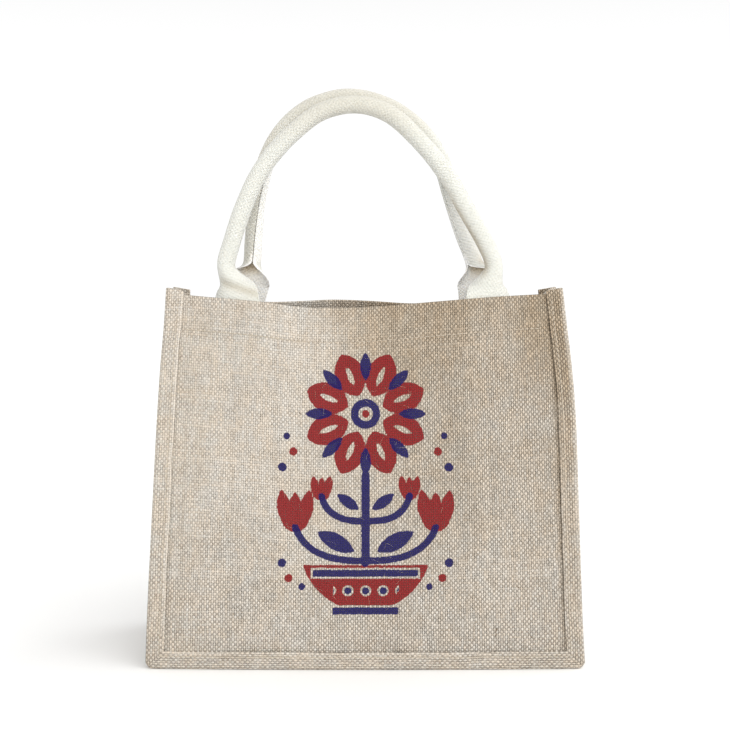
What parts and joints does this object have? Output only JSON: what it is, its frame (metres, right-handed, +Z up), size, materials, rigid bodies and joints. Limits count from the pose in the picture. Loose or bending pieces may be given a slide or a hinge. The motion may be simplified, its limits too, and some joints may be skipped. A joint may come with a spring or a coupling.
{
  "type": "burlap shopping bag",
  "caption": "Open burlap shopping bag standing on a flat base, with folded side gussets, flat edge strips and rolled cotton webbing handles.",
  "frame": {"origin": "middle of the flat base, on the floor", "axes": "+Z up; the printed front faces -Y; +X is to the right seen from the front"},
  "size_m": [0.4003, 0.1688, 0.5383],
  "materials": {
    "printed_burlap": "coarse plain-weave jute, matt, with a red and navy print",
    "burlap": "coarse plain-weave jute, matt",
    "webbing": "off-white cotton webbing, fine twill",
    "core_cord": "grey-beige twisted cord"
  },
  "bodies": {
    "root": {"front_panel": "printed_burlap", "back_panel": "burlap", "gusset": "burlap", "handle_front": "webbing", "handle_back": "webbing", "handle_front_core": "core_cord", "handle_back_core": "core_cord"}
  },
  "joints": []
}
